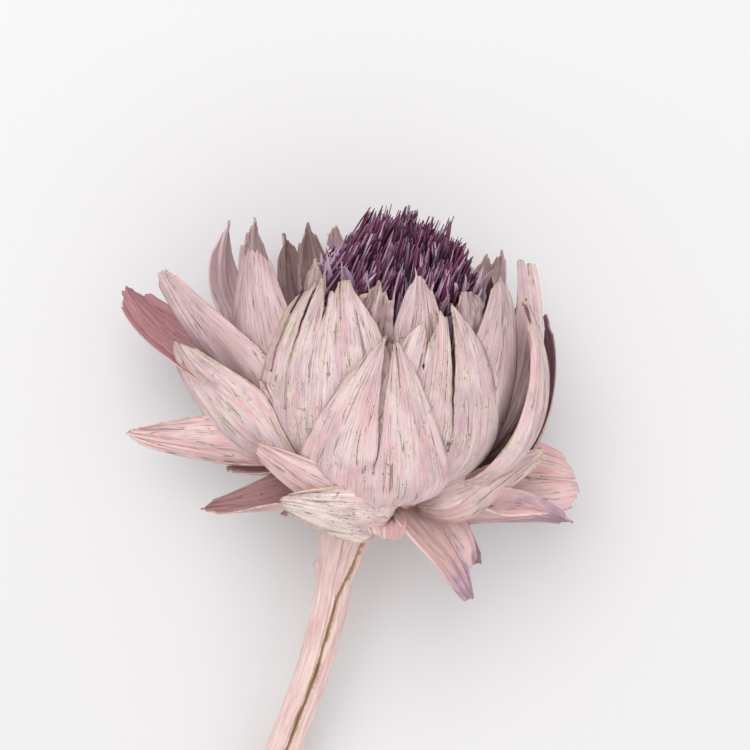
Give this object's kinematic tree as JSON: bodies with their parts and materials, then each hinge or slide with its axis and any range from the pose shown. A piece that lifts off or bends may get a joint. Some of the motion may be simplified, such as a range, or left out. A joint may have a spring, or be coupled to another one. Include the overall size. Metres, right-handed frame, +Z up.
{
  "type": "dried artichoke flower",
  "caption": "Dried artichoke flower head in chalky dusty pink with a plum floret tuft, on a cut stem, lying on its back.",
  "frame": {"origin": "middle of the outline on the surface the flower lies on", "axes": "+Z up, +Y along the flower from the cut stem to the florets, +X to its right"},
  "size_m": [0.1382, 0.2182, 0.0862],
  "materials": {
    "receptacle": "dry fibrous tan flesh",
    "stem": "chalky dusty-pink coat over ribbed dry stem",
    "florets": "dull dark plum fibres",
    "outer_bract": "chalky dusty-pink coat, matte, worn at tips",
    "middle_bract": "chalky dusty-pink coat, matte, worn at tips",
    "inner_bract": "chalky dusty pink outside, mauve inside",
    "collar_bract": "chalky dusty pink with bare tan tips",
    "inner_scale": "dull mauve brown"
  },
  "bodies": {
    "root": {"receptacle": "receptacle", "stem": "stem", "floret_tuft": "florets", "outer_bract_1": "outer_bract", "outer_bract_2": "outer_bract", "outer_bract_3": "outer_bract", "outer_bract_4": "outer_bract", "outer_bract_5": "outer_bract", "outer_bract_6": "outer_bract", "outer_bract_7": "outer_bract", "outer_bract_8": "outer_bract", "middle_bract_1": "middle_bract", "middle_bract_2": "middle_bract", "middle_bract_3": "middle_bract", "middle_bract_4": "middle_bract", "middle_bract_5": "middle_bract", "middle_bract_6": "middle_bract", "inner_bract_1": "inner_bract", "inner_bract_2": "inner_bract", "inner_bract_3": "inner_bract", "inner_bract_4": "inner_bract", "inner_bract_5": "inner_bract", "inner_bract_6": "inner_bract", "inner_bract_7": "inner_bract", "inner_bract_8": "inner_bract", "inner_bract_9": "inner_bract", "inner_bract_10": "inner_bract", "inner_bract_11": "inner_bract", "inner_bract_12": "inner_bract", "inner_bract_13": "inner_bract", "collar_bract_1": "collar_bract", "collar_bract_2": "collar_bract", "collar_bract_3": "collar_bract", "collar_bract_4": "collar_bract", "collar_bract_5": "collar_bract", "collar_bract_6": "collar_bract", "collar_bract_7": "collar_bract", "collar_bract_8": "collar_bract", "collar_bract_9": "collar_bract", "collar_bract_10": "collar_bract", "collar_bract_11": "collar_bract", "collar_bract_12": "collar_bract", "collar_bract_13": "collar_bract", "collar_bract_14": "collar_bract", "collar_bract_15": "collar_bract", "inner_scale_1": "inner_scale", "inner_scale_2": "inner_scale", "inner_scale_3": "inner_scale", "inner_scale_4": "inner_scale", "inner_scale_5": "inner_scale", "inner_scale_6": "inner_scale", "inner_scale_7": "inner_scale", "inner_scale_8": "inner_scale", "inner_scale_9": "inner_scale", "inner_scale_10": "inner_scale", "inner_scale_11": "inner_scale", "inner_scale_12": "inner_scale"}
  },
  "joints": []
}
